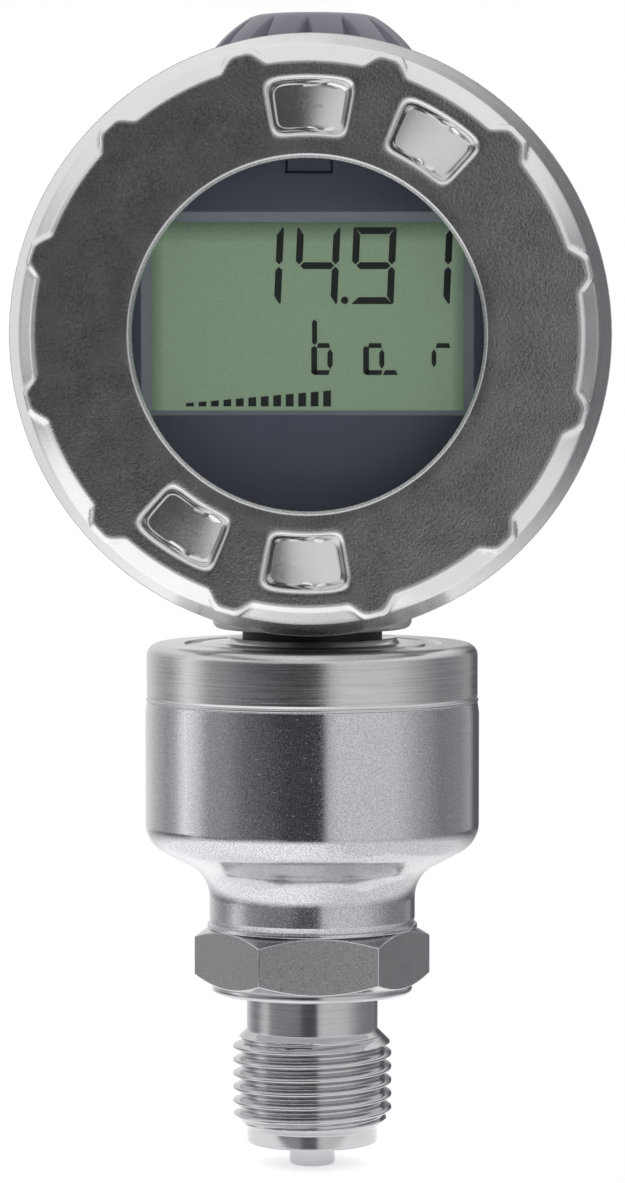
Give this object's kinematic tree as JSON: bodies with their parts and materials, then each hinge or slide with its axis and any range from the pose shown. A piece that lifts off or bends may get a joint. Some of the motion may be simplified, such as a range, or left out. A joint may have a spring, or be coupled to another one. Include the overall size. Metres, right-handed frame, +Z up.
{
  "type": "pressure transmitter",
  "caption": "Process pressure transmitter: round steel head with a screwed window cover, display and setting knob, swivelling on a turned capsule with a threaded connection.",
  "frame": {"origin": "middle of the sealing face at the lower end of the threaded connection, on the instrument's axis", "axes": "+Z up the process connection, -Y from the head towards the reader"},
  "size_m": [0.0774, 0.0718, 0.1516],
  "materials": {
    "turned_steel": "turned stainless steel",
    "capsule_steel": "fine turned and brushed stainless steel",
    "cast_steel": "bead-blasted and electropolished stainless casting",
    "hardware_steel": "plain stainless steel",
    "plated_brass": "nickel-plated brass",
    "gold_contacts": "gold-plated contacts",
    "black_rubber": "black elastomer",
    "circuit_board": "solder-masked glass-fibre board",
    "board_parts": "moulded chips, capacitors and sockets",
    "cable_sheath": "grey cable sheath",
    "module_plastic": "black moulded plastic",
    "vent_film": "white breathable film",
    "display_plastic": "dark blue-grey moulded plastic",
    "lcd_cell": "grey-green liquid-crystal cell",
    "window_glass": "clear toughened glass",
    "knob_plastic": "dark grey moulded plastic"
  },
  "bodies": {
    "process_unit": {"process_connection": "turned_steel", "capsule_body": "capsule_steel", "capsule_lid": "capsule_steel", "sensor_cell": "turned_steel", "sensor_diaphragm": "turned_steel", "cell_o_ring": "black_rubber", "cell_clamp_ring": "turned_steel", "header_pins": "gold_contacts", "board_spacer": "board_parts", "sensor_board": "circuit_board", "sensor_chips": "board_parts", "sensor_socket": "board_parts", "neck_gasket": "black_rubber", "neck_o_ring": "black_rubber", "stop_washer": "hardware_steel", "swivel_locknut": "hardware_steel"},
    "head": {"housing": "cast_steel", "stop_pin": "hardware_steel", "sensor_cable": "cable_sheath", "sensor_plug": "board_parts", "electronics_pot": "module_plastic", "module_screws": "hardware_steel", "board_standoffs": "hardware_steel", "main_board": "circuit_board", "main_board_parts": "board_parts", "supply_socket": "board_parts", "display_bezel": "display_plastic", "display_latch": "display_plastic", "lcd_glass": "lcd_cell", "lcd_reflector": "lcd_cell", "light_guide": "lcd_cell", "contact_strips": "black_rubber", "display_board": "circuit_board", "display_plug": "board_parts", "connector_shell": "plated_brass", "connector_insert": "board_parts", "connector_contacts": "gold_contacts", "connector_gasket": "black_rubber", "connector_locknut": "hardware_steel", "earth_screw": "hardware_steel", "earth_clamp": "hardware_steel", "vent_plug": "module_plastic", "vent_membrane": "vent_film", "encoder_body": "board_parts", "encoder_nut": "hardware_steel", "switch_dome": "hardware_steel", "knob_seal": "black_rubber"},
    "cover_seal": {"cover_o_ring": "black_rubber"},
    "cover": {"cover_ring": "cast_steel", "cover_glass": "window_glass", "glass_gasket": "black_rubber", "glass_retaining_ring": "hardware_steel"},
    "knob_rotor": {"encoder_rotor": "hardware_steel"},
    "knob_unit": {"knob": "knob_plastic", "knob_spindle": "hardware_steel", "knob_grub_screw": "hardware_steel"}
  },
  "joints": [
    {"name": "head_swivel", "type": "hinge", "parent": "process_unit", "child": "head", "pos_m": [0, 0, 0.08], "axis": [0, 0, 1], "range_deg": [-160, 160]},
    {"name": "cover_travel", "type": "slide", "parent": "head", "child": "cover_seal", "axis": [0, -1, 0], "range_m": [0, 0.01]},
    {"name": "cover_turn", "type": "hinge", "parent": "cover_seal", "child": "cover", "pos_m": [0, -0.02, 0.1065], "axis": [0, -1, 0], "range_deg": [0, 1800]},
    {"name": "knob_turn", "type": "hinge", "parent": "head", "child": "knob_rotor", "pos_m": [0, 0.005, 0.145], "axis": [0, 0, 1], "continuous": true},
    {"name": "knob_push", "type": "slide", "parent": "knob_rotor", "child": "knob_unit", "axis": [0, 0, -1], "range_m": [0, 0.0008], "stiffness_N_per_m": 4000, "deforming": ["switch_dome"]}
  ],
  "couplings": [
    {"joint": "cover_travel", "follows": "cover_turn", "m_per_rad": 0.000318}
  ]
}
